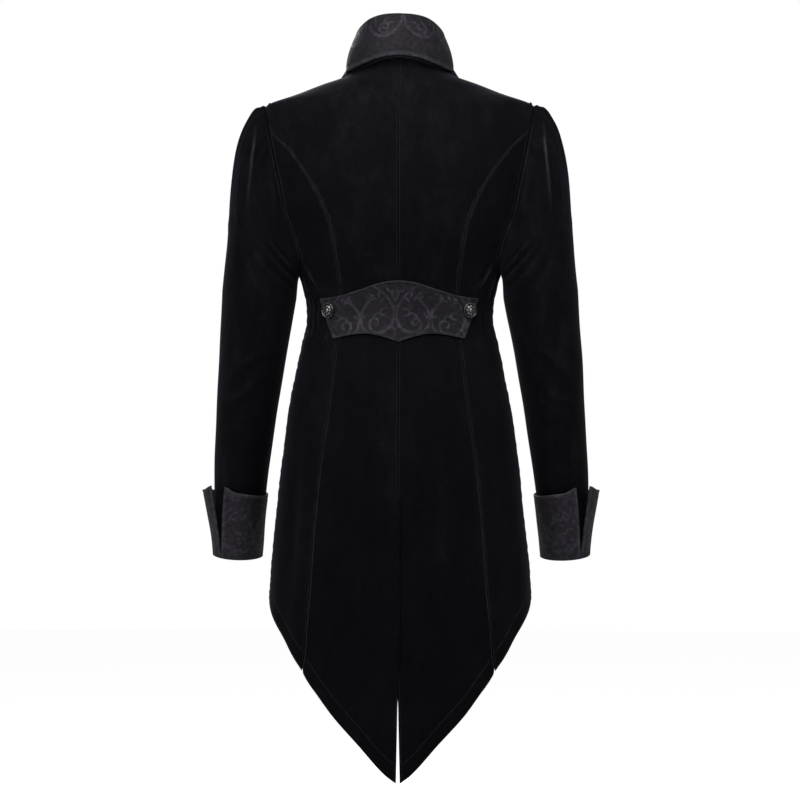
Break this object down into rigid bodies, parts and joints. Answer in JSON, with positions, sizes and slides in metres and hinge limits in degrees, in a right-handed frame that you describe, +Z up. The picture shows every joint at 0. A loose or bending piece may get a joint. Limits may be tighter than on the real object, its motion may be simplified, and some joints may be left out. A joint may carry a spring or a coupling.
{
  "type": "velvet tailcoat",
  "caption": "Women's tailcoat worn hollow: gathered sleeves, turned-back brocade cuffs, tall rolled collar, shaped half belt, pointed tails with a back vent.",
  "frame": {"origin": "between the shoulders, at the height of the neck end of the shoulder seams, where the wearer holds the coat up", "axes": "+Z up along the body, -Y to the coat's front, +X to the wearer's left"},
  "size_m": [0.5626, 0.2479, 1.0551],
  "materials": {
    "velvet": "black cotton velvet",
    "brocade": "black tone-on-tone scroll brocade",
    "button_metal": "dark antique silver"
  },
  "bodies": {
    "root": {"back_left": "velvet", "back_right": "velvet", "side_back_left": "velvet", "side_back_right": "velvet", "front_left": "velvet", "front_right": "velvet", "sleeve_left": "velvet", "sleeve_right": "velvet", "cuff_left": "brocade", "cuff_right": "brocade", "collar": "brocade", "back_belt": "brocade", "belt_button_left": "button_metal", "belt_button_right": "button_metal", "front_button_1": "button_metal", "front_button_2": "button_metal", "front_button_3": "button_metal", "front_button_4": "button_metal", "front_button_5": "button_metal"}
  },
  "joints": []
}
